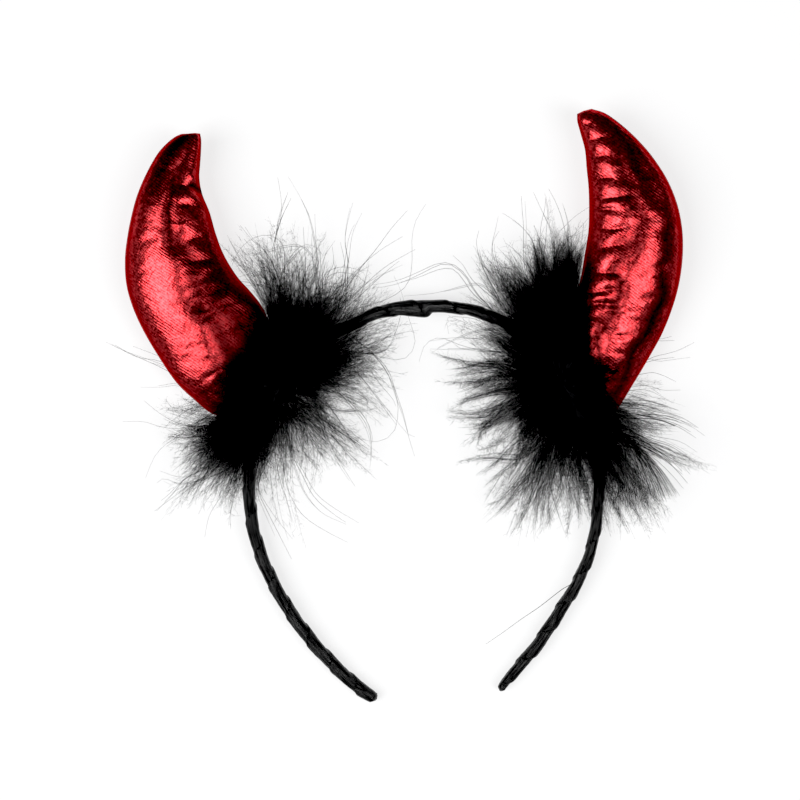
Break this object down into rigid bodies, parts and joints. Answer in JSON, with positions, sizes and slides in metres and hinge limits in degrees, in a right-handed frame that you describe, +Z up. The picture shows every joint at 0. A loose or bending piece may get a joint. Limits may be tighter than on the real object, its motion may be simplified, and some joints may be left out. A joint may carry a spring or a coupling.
{
  "type": "devil horns headband",
  "caption": "Ribbon-wound horseshoe headband with stuffed, curved red foil horns rising from tufts of black marabou down.",
  "frame": {"origin": "middle of the bounding box's underside, on the surface that the headband lies on", "axes": "+Z up from the surface, through the flat of the band; +Y from the band's ends to its crown and the horns' tips; +X to the right horn as seen from above"},
  "size_m": [0.195, 0.2084, 0.0323],
  "materials": {
    "black_satin_ribbon": "black satin ribbon, soft sheen",
    "red_foil_cloth": "deep red metallic foil cloth, creased",
    "black_marabou": "black marabou down, matt"
  },
  "bodies": {
    "root": {"headband": "black_satin_ribbon", "left_horn": "red_foil_cloth", "right_horn": "red_foil_cloth", "left_fluff": "black_marabou", "right_fluff": "black_marabou"}
  },
  "joints": []
}
